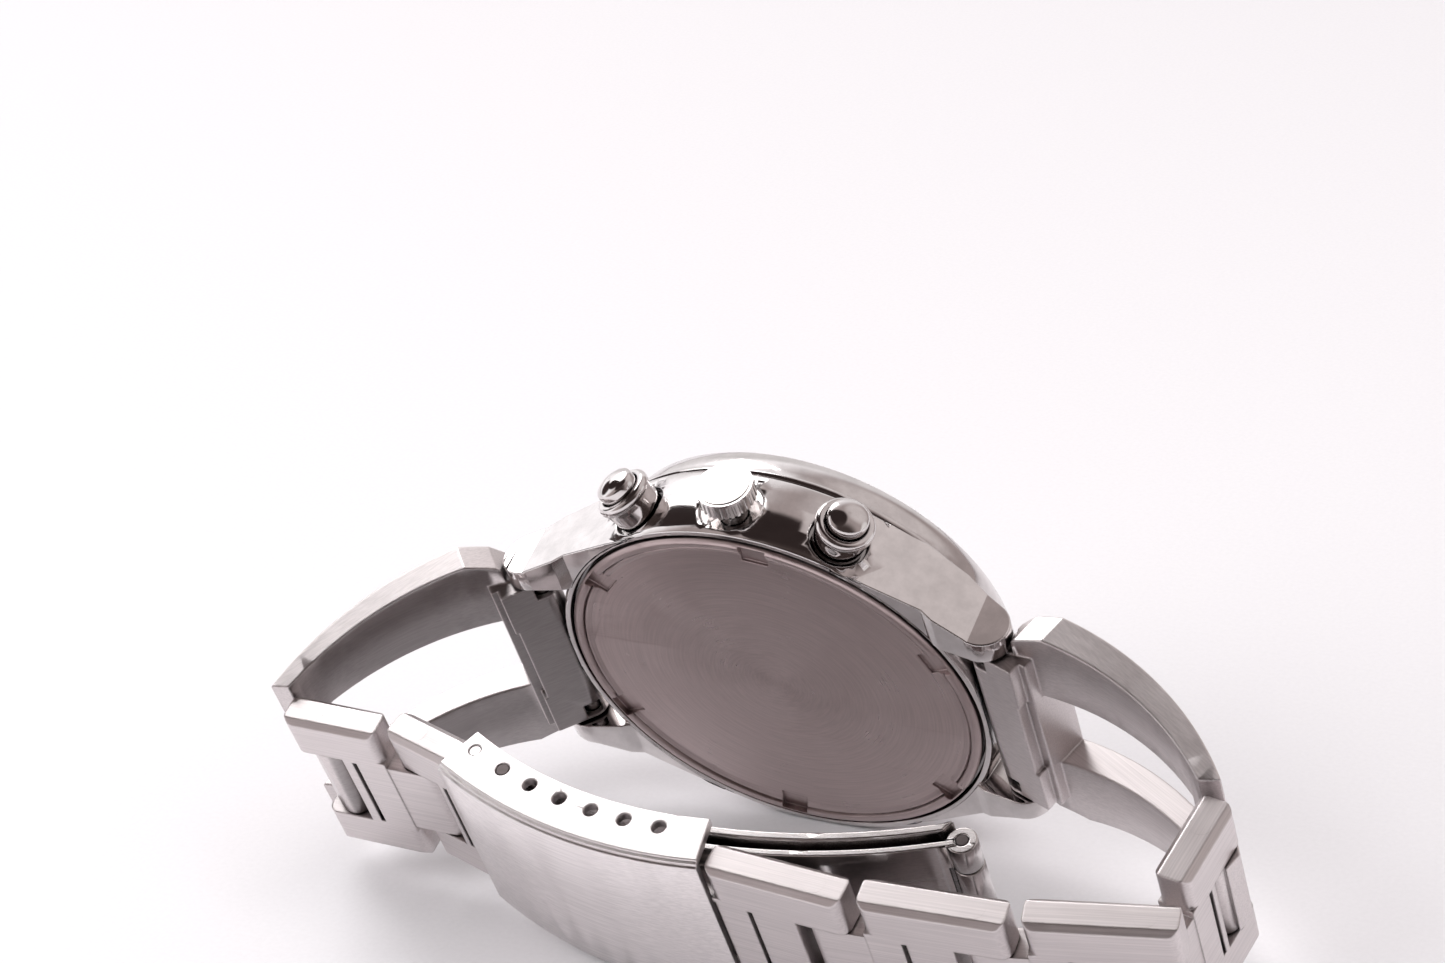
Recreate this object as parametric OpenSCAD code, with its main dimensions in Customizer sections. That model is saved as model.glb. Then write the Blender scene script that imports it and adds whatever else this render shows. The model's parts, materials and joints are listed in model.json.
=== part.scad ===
// Chronograph wristwatch with an H-link bracelet, lying on its side with the clasp closed.
// Watch axes: +X to 12 o'clock, +Y out of the dial, +Z to 3 o'clock (the crown).
// The last step, seat(), leans the whole watch onto the table. Sizes in millimetres.

/* [Case] */
// Case diameter at the crease of the band
case_d = 39.2; // [38:0.1:41]
// Height of the crease above the case back's plate
crease_h = 2.6; // [2.4:0.1:3]
// Height of the middle case's top, under the bezel
case_top_h = 6.4; // [6:0.1:7]
// Wall of the band, from the crease in to the movement's cavity
band_wall = 3.6; // [3.2:0.1:4]
// Step from the crease in to the screwed case back's edge
back_step = 1.4; // [1.2:0.1:1.8]
// Step from the crease in to the case back's flat plate
plate_step = 3; // [2.8:0.1:4.6]
// Depth of the wrench notches in the case back
notch_depth = 0.45; // [0.2:0.05:0.6]
// Top of the bezel above the plate
bezel_top_h = 10.05; // [9.5:0.05:11]
// Step from the crease in to the bezel's top edge
bezel_step = 2.2; // [1.6:0.1:2.8]
// Step from the crease in to the crystal's edge
crystal_step = 4.15; // [4.1:0.05:4.6]

/* [Lugs] */
// Gap between the lugs of a pair
lug_gap = 18.3; // [18:0.1:20]
// Spring bar axis, from the case's centre
bar_x = 20.4; // [20:0.1:21.5]
// Spring bar axis, height above the plate
bar_h = 0.9; // [0.6:0.1:1.2]
// Radius of a lug's rounded tip
lug_tip_r = 2.3; // [2:0.1:2.5]

/* [Crown and pushers] */
// Crown head radius over the flutes
crown_r = 2.35; // [2.2:0.05:2.6]
// Crown top, out of the crease
crown_out = 2.8; // [2.4:0.1:3.4]
// Number of flutes on the crown
flutes = 28; // [20:1:32]
// Pull travel of the crown
crown_pull = 1; // [0.6:0.1:1.2]
// Angle between a pusher and the crown
pusher_angle = 27.5; // [26:0.5:32]
// Pusher button radius
button_r = 1.7; // [1.4:0.05:1.8]
// Top of a pusher button, out of the crease
button_out = 3.6; // [3.2:0.1:4]
// Travel of a pusher
pusher_travel = 1; // [0.5:0.1:1.1]

/* [Dial side] */
// Width of the ring that holds the movement in its cavity
holder_w = 2.2; // [2.1:0.1:3]
// Height of the dial's back above the plate
dial_h = 5.35; // [5.3:0.05:5.5]
// Sub-dial radius
subdial_r = 3.4; // [2.8:0.1:3.8]
// Distance of a sub-dial from the centre
subdial_at = 7.2; // [6.8:0.1:7.8]

/* [Bracelet] */
// Width of the H-links
link_w = 16.4; // [15:0.1:16.6]
// Thickness of the links
link_t = 3; // [2.6:0.1:3.2]
// Width of a link's centre tongue
tongue_w = 8; // [7:0.1:8.4]
// Pin distance of the long links
link_pitch = 12.9; // [12.4:0.1:13.2]
// Pin distance of the short turning link
turn_pitch = 9; // [8.8:0.1:9.6]
// Pin distance of the first link on the 6 o'clock side
end_pitch = 10; // [9.8:0.1:10.4]
// Gap between the outer pieces of two links
link_gap = 1.1; // [1:0.05:1.4]
// Distance of a pin from the notch end of its link
pin_inset = 2.6; // [2.4:0.1:2.8]
// Link pin radius
pin_r = 0.55; // [0.4:0.05:0.65]

/* [End links] */
// Lean of the 12 o'clock end link
tilt_12 = -21; // [-23:0.5:-18]
// Lean of the 6 o'clock end link
tilt_6 = -40; // [-42:0.5:-37]
// Window half-width between an end link's arms
window_z = 4.3; // [4:0.1:5]
// Half-width of an end link at its far tips
tip_z = 9.1; // [8.8:0.1:9.4]
// Half-width of an end link beside the lugs
flare_z = 11.6; // [11:0.1:12]
// Outer radius of the arms' curve
arm_r = 25.9; // [25:0.1:27]

/* [Closed loop] */
// Direction of the turning link
turn_dir = -100; // [-102:0.5:-98]
// Direction of the second link
second_dir = 189; // [188:0.5:190]
// Direction of the third link
third_dir = 182; // [181:0.5:183]
// Direction of the fourth link
fourth_dir = 176; // [175.5:0.5:176.5]

/* [Clasp] */
// Width over the clasp cover's side walls
cover_w = 18.4; // [18:0.1:19]
// Radius of the curve through the adjusting holes
hole_curve = 42; // [40:0.5:44]
// Number of adjusting holes in each wall
holes = 6; // [3:1:6]
// Pitch of the adjusting holes
hole_pitch = 3.1; // [2.6:0.1:3.2]
// Clasp sheet thickness
sheet_t = 0.7; // [0.6:0.05:0.8]
// Width of the folding blades
blade_w = 14; // [12:0.2:14.4]

/* [Hidden] */
$fn = 64;
case_r = case_d / 2;
case_low = -0.2;
cavity_r = in(band_wall);
back_r = in(back_step);
plate_r = in(plate_step);
bezel_top_r = in(bezel_step);
crystal_r = in(crystal_step);
movement_r = cavity_r - holder_w;
cell_at = polar(48, movement_r - 6.4);
rim_r = in(0.35);
rim_h = 0.4;
run = 0.03;
gap = 0.3;
link_hw = link_w / 2;
tongue_hw = tongue_w / 2;
notch_hw = tongue_hw + 0.15;
tip_r = link_t / 2 - 0.1;
notch_wall = tip_r + 0.6;
lug_z = lug_gap / 2;
barrel_r = 1.5;
bar_r = 0.85;
nose_12 = [24.9, -4.5];
nose_6 = [21.3, -4.7];
arm_c = [9, 4 - arm_r];
arm_in_r = arm_r - 0.95;
arm_in_c = [10.3, 1.39 - arm_in_r];
// slanted end of the arms: a point on it, its direction, and its outer corner
arm_end = [22.75, -1.85];
arm_end_turn = 35.5;
arm_end_run = (arm_end - arm_c) * polar(arm_end_turn, 1);
arm_tip = arm_end + polar(arm_end_turn,
    sqrt(pow(arm_end_run, 2) + pow(arm_r, 2) - pow(norm(arm_end - arm_c), 2)) - arm_end_run);
// end of the tab over the 12 o'clock nose, and its outer corner
tab_reach = 1.7;
tab = [nose_12[0] + tab_reach,
    arm_c[1] + sqrt(pow(arm_r, 2) - pow(nose_12[0] + tab_reach - arm_c[0], 2))];
// closed loop, pin by pin: the 12 o'clock chain, then the 6 o'clock one mirrored in X
q0 = [bar_x, bar_h];
q1 = nose_at(tilt_12, nose_12);
q2 = q1 + polar(turn_dir, turn_pitch);
q3 = q2 + polar(second_dir, link_pitch);
q4 = q3 + polar(third_dir, link_pitch);
q5 = q4 + polar(fourth_dir, link_pitch);
p1 = nose_at(tilt_6, nose_6);
p2 = p1 + polar(181, end_pitch);
p3 = p2 + polar(195.5, end_pitch);
// clasp cover: centre of its curve, first hole, hinge and both ends
bar_turn = -20.3;
h1 = [-p3[0], p3[1]];
cover_c = h1 - hole_curve * [sin(bar_turn), -cos(bar_turn)];
hinge_turn = bar_turn - 4.7;
h0 = on_cover(hinge_turn, hole_curve);
left_turn = bar_turn - 6.6;
right_turn = asin((q5[0] + link_gap + pin_inset - 0.6 - cover_c[0]) / hole_curve);
cover_in = hole_curve + 2.4;
cover_out = cover_in + sheet_t;
cover_foot = cover_in + 0.2;
cover_edge = hole_curve - 1.4;
cover_hw = cover_w / 2;
wall_t = 0.8;
blade_hw = blade_w / 2;
blade_r = 56;
blade_c = [0.8, q5[1] + 3.13 + blade_r];
fold_r = blade_r + 1.5;
fold_x = 23.9;
fold = [fold_x, blade_c[1] - sqrt(pow(fold_r, 2) - pow(fold_x - blade_c[0], 2))];
inner_r = blade_r + sheet_t + 0.6;
// seat on the table: the line from the case's lowest rim to the cover's lowest edge is level
lean = atan((rim_r - cover_hw) / (rim_h - cover_c[1] + cover_foot));
drop = rim_r * cos(lean) - rim_h * sin(lean);
far_12 = nose_at(tilt_12, tab)[0];
far_6 = nose_at(tilt_6, arm_tip)[0];
mid_x = (far_12 - far_6) / 2;
back_y = (cover_c[1] - cover_out) * cos(lean) - (cover_hw - 0.5) * sin(lean);
front_y = bezel_top_h * cos(lean) + bezel_top_r * sin(lean);
mid_y = (back_y + front_y) / 2;

// radius a given step inside the crease
function in(step) = case_r - step;
function polar(a, r) = r * [cos(a), sin(a)];
function nose_at(a, n) = [bar_x, bar_h] + n[0] * polar(a, 1) + n[1] * polar(a + 90, 1);
function on_cover(a, r) = cover_c + r * [sin(a), -cos(a)];

steel = [0.76, 0.75, 0.73];
polished = [0.82, 0.8, 0.79];
dark = [0.2, 0.2, 0.21];
gold = [0.8, 0.66, 0.38];

// Node to build, or all

module seat() {
    translate([-mid_x, -mid_y, drop]) rotate([lean, 0, 0]) children();
}

// local +Z out of the dial, +X to 12 o'clock, -Y to 3 o'clock
module dial_axes() {
    rotate([-90, 0, 0]) children();
}

// local +Z radially out through the case band, at an angle from the crown
module rim_axes(a) {
    rotate([0, a, 0]) translate([0, crease_h, case_r]) children();
}

module ring(ro, ri, h) {
    difference() {
        cylinder(r = ro, h = h);
        translate([0, 0, -1]) cylinder(r = ri, h = h + 2);
    }
}

// cylinder along Z, centred on the middle plane
module bar(r, w) {
    translate([0, 0, -w / 2]) cylinder(r = r, h = w, $fn = 48);
}

module slab(x0, x1, y0, y1, z0, z1) {
    translate([x0, y0, z0]) cube([x1 - x0, y1 - y0, z1 - z0]);
}

// ---------------------------------------------------------------- case

// side view of one lug, X across, Y up
module lug_side() {
    polygon([[9, case_low - 0.05], [16, case_low - 0.05], [17, -0.75],
        [bar_x - 0.79, bar_h - 2.16], [bar_x, bar_h], [bar_x + 1.15, bar_h + 1.99],
        [18.2, 4.75], [14.6, 5.9], [9, 6.2]]);
}

// seen from the dial, X across, Y as the distance from the middle
module lug_plan() {
    polygon([[9, lug_z], [bar_x + 3, lug_z], [bar_x + 3, lug_z + 1.75], [20, lug_z + 2.3],
        [16, lug_z + 4.1], [11.5, 15.5], [9, 16.6]]);
}

module lug() {
    intersection() {
        union() {
            translate([0, 0, lug_z - 1]) linear_extrude(12) lug_side();
            translate([bar_x, bar_h, lug_z - 1]) cylinder(r = lug_tip_r, h = 12);
        }
        rotate([90, 0, 0]) translate([0, 0, -12]) linear_extrude(24) lug_plan();
    }
}

module case_middle() {
    seat() color(polished) difference() {
        union() {
            dial_axes() rotate_extrude($fn = 120) polygon([
                [cavity_r, 1.3], [in(2.3), 1.3], [in(2.3), 0.65], [back_r + gap, 0.65],
                [back_r + gap, case_low], [in(0.6), case_low], [rim_r, rim_h], [case_r, crease_h],
                [in(0.3), 6.1], [in(0.7), case_top_h], [cavity_r, case_top_h]]);
            difference() {
                for (sx = [0, 1], sz = [0, 1]) mirror([sx, 0, 0]) mirror([0, 0, sz]) lug();
                // the roots end inside the band's wall
                dial_axes() translate([0, 0, -4]) cylinder(r = back_r + 0.55, h = 5, $fn = 120);
                dial_axes() cylinder(r = in(2), h = 9, $fn = 120);
            }
        }
        // room for the end links' barrels, and the spring bar holes in the lugs
        for (s = [-1, 1]) translate([s * bar_x, bar_h, 0]) {
            bar(barrel_r + gap, lug_gap);
            bar(0.5, lug_gap + 2);
        }
        // crown: tube hole and the recess in the band
        rim_axes(0) rotate([0, 0, 20]) {
            translate([0, 0, -6]) cylinder(r = 1.17, h = 12);
            translate([0, 0, -0.45]) cylinder(r = crown_r + gap, h = 4);
        }
        // pushers: collar holes with a groove around each collar
        for (a = [-1, 1]) rim_axes(a * pusher_angle) {
            translate([0, 0, -6]) cylinder(r = 0.85, h = 12);
            translate([0, 0, -2]) cylinder(r = 1.52, h = 8);
            translate([0, 0, -1]) cylinder(r = 2.45, h = 8);
        }
    }
}

module bezel() {
    seat() color(polished) dial_axes() rotate_extrude($fn = 120) polygon([
        [in(3.75), case_top_h + 0.02], [in(0.7), case_top_h + 0.02], [in(0.6), 6.95],
        [in(1.2), 7.3], [in(1.4), 8.6], [in(1.85), 9.7], [bezel_top_r, bezel_top_h],
        [in(3.1), bezel_top_h], [in(3.8), 9.7], [in(3.8), 8.25], [in(4.65), 8.25], [in(4.65), 8],
        [in(3.75), 8]]);
}

module crystal() {
    seat() color([0.85, 0.9, 0.93, 0.35]) dial_axes() translate([0, 0, 8.27]) {
        cylinder(r = crystal_r, h = bezel_top_h - 8.37, $fn = 120);
        translate([0, 0, bezel_top_h - 8.37]) cylinder(r1 = crystal_r, r2 = crystal_r - 0.2,
            h = 0.2, $fn = 120);
    }
}

module crystal_gasket() {
    seat() color(dark) dial_axes() translate([0, 0, 8.3])
        ring(in(3.83), crystal_r + run, 1.1, $fn = 120);
}

module case_back() {
    seat() color(steel) difference() {
        dial_axes() rotate_extrude($fn = 120) polygon([[0, 0], [plate_r, 0],
            [in(2.6), -0.22], [in(2.45), -0.22], [in(2.4), -0.08], [in(2.3), -0.08],
            [in(2.25), -0.38], [in(1.75), -0.45], [back_r, -0.2], [back_r, 0.6], [in(2.35), 0.6],
            [in(2.35), 1.2], [cavity_r, 1.2], [cavity_r, 0.8], [0, 0.8]]);
        // six wrench notches
        for (i = [0:5]) rotate([0, -(82 + 60 * i), 0]) slab(in(3.7), in(1.65), -1,
            notch_depth - 0.2, -1.15, 1.15);
    }
}

module back_gasket() {
    seat() color(dark) dial_axes() translate([0, 0, 1.22]) ring(in(2.4), cavity_r + gap, 0.06);
}

module rehaut() {
    seat() color(polished) dial_axes() rotate_extrude($fn = 120) polygon([[in(5), 5.8],
        [in(3.85), 5.8], [in(3.85), 7.95], [in(4.4), 7.95], [in(5), 6.6]]);
}

module dial() {
    seat() color([0.93, 0.93, 0.92]) dial_axes() difference() {
        translate([0, 0, dial_h]) cylinder(r = cavity_r - gap, h = 0.4, $fn = 120);
        translate([0, 0, dial_h - 1]) cylinder(r = 0.85, h = 3);
        // three sunk sub-dials and the date window
        for (p = [[subdial_at, 0], [-subdial_at, 0], [0, subdial_at]]) translate([p[0], p[1], 0]) {
            translate([0, 0, dial_h + 0.28]) cylinder(r = subdial_r, h = 1);
            translate([0, 0, dial_h - 1]) cylinder(r = 0.3, h = 3);
        }
        slab(-1, 1, -12.4, -10.2, dial_h - 1, dial_h + 1);
    }
}

module hour_markers() {
    seat() color(polished) dial_axes() for (i = [0:11]) rotate([0, 0, 30 * i])
        slab(in(i % 3 == 0 && i != 9 ? 7 : (i == 9 ? 6.6 : 8)), in(5.3), -0.35, 0.35,
            dial_h + 0.42, dial_h + 0.67);
}

module date_ring() {
    seat() color([0.95, 0.95, 0.93]) dial_axes() translate([0, 0, 5.08]) 
        ring(movement_r - 0.4, movement_r - 4.4, 0.2);
}

module movement() {
    seat() color(gold) difference() {
        dial_axes() translate([0, 0, 1.5]) cylinder(r = movement_r, h = 3.5);
        // battery well, centre arbor, sub-dial arbors and stem way
        dial_axes() translate(cell_at) cylinder(r = 4.8, h = 3.2);
        dial_axes() translate([0, 0, 4]) cylinder(r = 0.85, h = 3);
        dial_axes() for (p = [[subdial_at, 0], [-subdial_at, 0], [0, subdial_at]])
            translate([p[0], p[1], 4.2]) cylinder(r = 0.3, h = 3);
        rim_axes(0) translate([0, 0, -10.2]) cylinder(r = 0.95, h = 6);
    }
}

module movement_holder() {
    seat() color([0.85, 0.85, 0.82]) difference() {
        dial_axes() translate([0, 0, 1.5]) ring(cavity_r - 0.15, movement_r + 0.1, 3.8);
        for (a = [-1:1]) rim_axes(a * pusher_angle) translate([0, 0, -12]) cylinder(r = 1.3, h = 10.4);
        dial_axes() translate([0, 0, 5]) ring(case_r, movement_r + 0.2, 1);
    }
}

module battery() {
    seat() color(steel) dial_axes() translate(concat(cell_at, [1.1])) {
        cylinder(r = 4.7, h = 1.9);
        translate([0, 0, -0.2]) cylinder(r = 3.9, h = 0.3);
    }
}

// ------------------------------------------------- crown and pushers

// reaches far enough out for the crown to cover it when pulled
module crown_tube() {
    seat() color(steel) rim_axes(0) translate([0, 0, -3.4]) ring(1.14, 0.78, 3.9 + crown_pull);
}

module setting_collar() {
    seat() color(gold) rim_axes(0) translate([0, 0, -7.4]) ring(0.88, 0.48, 0.6);
}

module stem() {
    seat() color(steel) rim_axes(0) {
        translate([0, 0, -9]) cylinder(r = 0.45, h = 5);
        translate([0, 0, -8]) cylinder(r = 0.75, h = 0.5);
        translate([0, 0, -6.7]) cylinder(r = 0.75, h = 8.3);
    }
}

module crown() {
    head = crown_out - 2.1;
    seat() color(polished) rim_axes(0) difference() {
        union() {
            translate([0, 0, head]) cylinder(r = crown_r, h = 1.55);
            translate([0, 0, head - 0.25]) cylinder(r1 = crown_r - 0.3, r2 = crown_r - 0.12,
                h = 0.26);
            intersection() {
                translate([0, 0, head + 1]) cylinder(r = crown_r - 0.25, h = 3);
                translate([0, 0, crown_out - 5]) sphere(r = 5, $fn = 96);
            }
        }
        for (i = [0:flutes - 1]) rotate([0, 0, i * 360 / flutes])
            translate([crown_r, 0, head - 0.01]) cylinder(r = 0.14, h = 1.3, $fn = 16);
        translate([0, 0, head - 1]) cylinder(r = 1.25, h = 1.95);
        translate([0, 0, head]) cylinder(r = 0.77, h = 1.2);
    }
}

module collar() {
    difference() {
        union() {
            translate([0, 0, -1.9]) cylinder(r = 1.5, h = 2);
            translate([0, 0, -0.95]) cylinder(r1 = 2.1, r2 = 2.3, h = 2.65);
            translate([0, 0, 1.5]) cylinder(r = 2.45, h = 0.5);
            translate([0, 0, 2]) cylinder(r1 = 2.45, r2 = 2.2, h = 0.25);
        }
        translate([0, 0, -4]) cylinder(r = 0.78, h = 10);
        translate([0, 0, 1.3 - pusher_travel]) cylinder(r = button_r + 0.08, h = 6);
    }
}

module collar_2() {
    seat() color(polished) rim_axes(pusher_angle) collar();
}

module collar_4() {
    seat() color(polished) rim_axes(-pusher_angle) collar();
}

module button() {
    difference() {
        intersection() {
            translate([0, 0, 1.5]) cylinder(r = button_r, h = 4);
            translate([0, 0, button_out - 3]) sphere(r = 3, $fn = 96);
        }
        translate([0, 0, 1.4]) cylinder(r = 0.72, h = 0.9);
    }
}

module shaft() {
    translate([0, 0, -4.5]) cylinder(r = 0.7, h = 6.8);
    translate([0, 0, -4.4]) cylinder(r = 1.15, h = 0.3);
}

module button_2() {
    seat() color(polished) rim_axes(pusher_angle) button();
}

module shaft_2() {
    seat() color(steel) rim_axes(pusher_angle) shaft();
}

module button_4() {
    seat() color(polished) rim_axes(-pusher_angle) button();
}

module shaft_4() {
    seat() color(steel) rim_axes(-pusher_angle) shaft();
}

// -------------------------------------------------------------- hands

// flat hand pointing to +X of the dial axes
module hand(len, w, tail, h, t) {
    translate([0, 0, h]) linear_extrude(t) polygon([[-tail, -w / 2], [0, -w * 0.6],
        [len * 0.8, -w / 2], [len, 0], [len * 0.8, w / 2], [0, w * 0.6], [-tail, w / 2]]);
}

module hour_hand() {
    seat() color(polished) dial_axes() difference() {
        union() {
            rotate([0, 0, 60]) hand(in(11.4), 0.9, 1.8, 6.15, 0.15);
            translate([0, 0, 4.7]) cylinder(r = 0.75, h = 1.5);
            translate([0, 0, 6.1]) cylinder(r = 1.1, h = 0.22);
        }
        cylinder(r = 0.55, h = 9);
    }
}

module minute_hand() {
    seat() color(polished) dial_axes() difference() {
        union() {
            rotate([0, 0, -60]) hand(in(7.2), 0.8, 2, 6.45, 0.15);
            translate([0, 0, 4.5]) cylinder(r = 0.5, h = 2);
            translate([0, 0, 6.4]) cylinder(r = 1, h = 0.22);
        }
        cylinder(r = 0.3, h = 9);
    }
}

module chrono_hand() {
    seat() color([0.7, 0.12, 0.1]) dial_axes() {
        hand(in(6.4), 0.3, 4, 6.75, 0.12);
        translate([0, 0, 4.3]) cylinder(r = 0.25, h = 2.6);
        translate([0, 0, 6.7]) cylinder(r = 0.8, h = 0.3);
    }
}

module small_hand(a) {
    rotate([0, 0, a]) hand(2.8, 0.3, 0.8, 5.9, 0.1);
    translate([0, 0, 4.4]) cylinder(r = 0.25, h = 1.55);
    translate([0, 0, 5.86]) cylinder(r = 0.45, h = 0.16);
}

module small_hand_12() {
    seat() color(dark) dial_axes() translate([subdial_at, 0, 0]) small_hand(0);
}

module small_hand_6() {
    seat() color(dark) dial_axes() translate([-subdial_at, 0, 0]) small_hand(40);
}

module small_hand_9() {
    seat() color(dark) dial_axes() translate([0, subdial_at, 0]) small_hand(-70);
}

// ----------------------------------------------------------- bracelet

module spring_bar() {
    translate([bar_x, bar_h, 0]) {
        bar(bar_r, lug_gap - 1);
        bar(0.45, lug_gap + 1.7);
    }
}

module spring_bar_12() {
    seat() color(steel) spring_bar();
}

module spring_bar_6() {
    seat() color(steel) mirror([1, 0, 0]) spring_bar();
}

// outline of an end link seen from outside: X along the link, Y across
module arm_plan() {
    polygon([[1.4, 9.2], [2.9, flare_z - 0.9], [5.4, flare_z], [23.6, tip_z], [28, tip_z - 0.4],
        [28, -tip_z + 0.4], [23.6, -tip_z], [5.4, -flare_z], [2.9, -flare_z + 0.9], [1.4, -9.2]]);
}

// end link along +X, +Y away from the wrist, turning about the origin
module end_link(nose) {
    foot = [22.4, -0.9];
    reach = nose - foot;
    difference() {
        union() {
            intersection() {
                difference() {
                    translate([arm_c[0], arm_c[1], -14]) cylinder(r = arm_r, h = 28, $fn = 160);
                    translate([arm_in_c[0], arm_in_c[1], -15])
                        cylinder(r = arm_in_r, h = 30, $fn = 160);
                }
                rotate([90, 0, 0]) translate([0, 0, -12]) linear_extrude(24) arm_plan();
            }
            // barrel and near crossbar, between the lugs
            bar(barrel_r, lug_gap - 0.5);
            slab(0, 3.6, -barrel_r, barrel_r, -lug_z + 0.25, lug_z - 0.25);
            slab(2.9, 4.2, -0.4, 2.6, -lug_z + 0.25, lug_z - 0.25);
            // nose for the first link's pin
            translate([nose[0], nose[1], 0]) bar(tip_r, tongue_w);
            translate([foot[0], foot[1], 0]) rotate([0, 0, atan2(reach[1], reach[0])])
                slab(0, norm(reach), -tip_r + 0.04, tip_r - 0.04, -tongue_hw + 0.05, tongue_hw - 0.05);
        }
        // slanted far end, window, lug room
        translate([arm_end[0], arm_end[1], -20]) rotate([0, 0, arm_end_turn - 90]) difference() {
            translate([0, -9, 0]) cube([9, 18, 40]);
            translate([-1, -9, 20 - tongue_hw]) cube([9, 18, tongue_w]);
        }
        slab(nose[0] + tab_reach, 30, -12, 9, -tongue_hw - 0.4, tongue_hw + 0.4);
        slab(4.2, 20.4, -9, 9, -window_z, window_z);
        slab(3.3, 4.3, -9, -0.4, -window_z, window_z);
        for (s = [-1, 1]) translate([0, 0, s * (lug_z + 4.9)]) bar(lug_tip_r + gap, 10);
        // bores and the slots that reach the spring bar's ends
        bar(bar_r + run, 40);
        translate([nose[0], nose[1], 0]) bar(pin_r + run, 40);
        for (s = [-1, 1]) translate([0, 0, s * 7.9]) slab(-0.75, 0.75, -3, 0, -0.75, 0.75);
    }
}

module on_12(p, a) {
    translate([p[0], p[1], 0]) rotate([0, 0, a]) children();
}

module on_6(p, a) {
    mirror([1, 0, 0]) on_12(p, a) children();
}

module end_link_12() {
    seat() color(steel) on_12(q0, tilt_12) end_link(nose_12);
}

module end_link_6() {
    seat() color(steel) on_6(q0, tilt_6) end_link(nose_6);
}

// bar with rounded corners along X, standing on z0
module rounded(x0, x1, t, r, z0, z1) {
    slab(x0 + r, x1 - r, -t / 2, t / 2, z0, z1);
    slab(x0, x1, -t / 2 + r, t / 2 - r, z0, z1);
    for (x = [x0 + r, x1 - r], y = [-t / 2 + r, t / 2 - r])
        translate([x, y, z0]) cylinder(r = r, h = z1 - z0, $fn = 32);
}

// one-piece H-link: its notch turns about the origin, its tongue ends at the next pin.
// side is +1 where +Y faces the wrist and -1 where it faces out
module h_link(pitch, side, reach = link_gap + pin_inset) {
    far = pitch - reach;
    difference() {
        union() {
            for (s = [0, 1]) mirror([0, 0, s])
                rounded(-pin_inset, far, link_t, 0.9, notch_hw, link_hw);
            slab(notch_wall, far, -link_t / 2, link_t / 2, -notch_hw - 0.5, notch_hw + 0.5);
            slab(far - 1, pitch, -tip_r, tip_r, -tongue_hw, tongue_hw);
            translate([pitch, 0, 0]) bar(tip_r, tongue_w);
        }
        // pin bores
        bar(pin_r + run, link_w + 2);
        translate([pitch, 0, 0]) bar(pin_r + run, tongue_w + 0.2);
        // groove across the centre and chamfers along the outer edges
        slab(max(far - 3.4, notch_wall + 0.5), max(far - 2.95, notch_wall + 0.95),
            side < 0 ? link_t / 2 - 0.6 : -2, side < 0 ? 2 : -link_t / 2 + 0.6,
            -tongue_hw, tongue_hw);
        for (s = [-1, 1], y = [-1, 1]) translate([-5, y * link_t / 2, s * link_hw])
            rotate([45, 0, 0]) slab(0, pitch + 10, -0.35, 0.35, -0.35, 0.35);
    }
}

module link_pin(w) {
    bar(pin_r, w);
}

module link_1() {
    seat() color(steel) on_12(q1, turn_dir) h_link(turn_pitch, -1);
}

module link_2() {
    seat() color(steel) on_12(q2, second_dir) h_link(link_pitch, -1);
}

module link_3() {
    seat() color(steel) on_12(q3, third_dir) h_link(link_pitch, -1);
}

// the last link's tongue is thinned where it lies in the cover
module link_4() {
    seat() color(steel) difference() {
        on_12(q4, fourth_dir) h_link(link_pitch, -1);
        curved(cover_c, cover_in - 0.15, cover_out + 2, 0, right_turn + 0.5, notch_hw);
    }
}

module link_5() {
    seat() color(steel) on_6(p1, 181) h_link(end_pitch, -1);
}

module link_6() {
    seat() color(steel) on_6(p2, 195.5) h_link(end_pitch, -1, 5);
}

module pin_1() {
    seat() color(steel) on_12(q1, 0) link_pin(link_w - 0.4);
}

module pin_2() {
    seat() color(steel) on_12(q2, 0) link_pin(link_w - 0.4);
}

module pin_3() {
    seat() color(steel) on_12(q3, 0) link_pin(link_w - 0.4);
}

module pin_4() {
    seat() color(steel) on_12(q4, 0) link_pin(link_w - 0.4);
}

module pin_5() {
    seat() color(steel) on_12(q5, 0) link_pin(11);
}

module pin_6() {
    seat() color(steel) on_6(p1, 0) link_pin(link_w - 0.4);
}

// the pin of the pivot where the closed loop is left open: flush in the tongue
module loop_pin() {
    seat() color(steel) on_6(p2, 0) link_pin(tongue_w - 0.1);
}

// -------------------------------------------------------------- clasp

// curved sheet about a centre: radii ri to ro, from turn a to turn b, half-width hw
module curved(c, ri, ro, a, b, hw) {
    translate([c[0], c[1], -hw]) rotate([0, 0, a - 90]) rotate_extrude(angle = b - a, $fn = 240)
        translate([ri, 0]) square([ro - ri, 2 * hw]);
}

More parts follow.
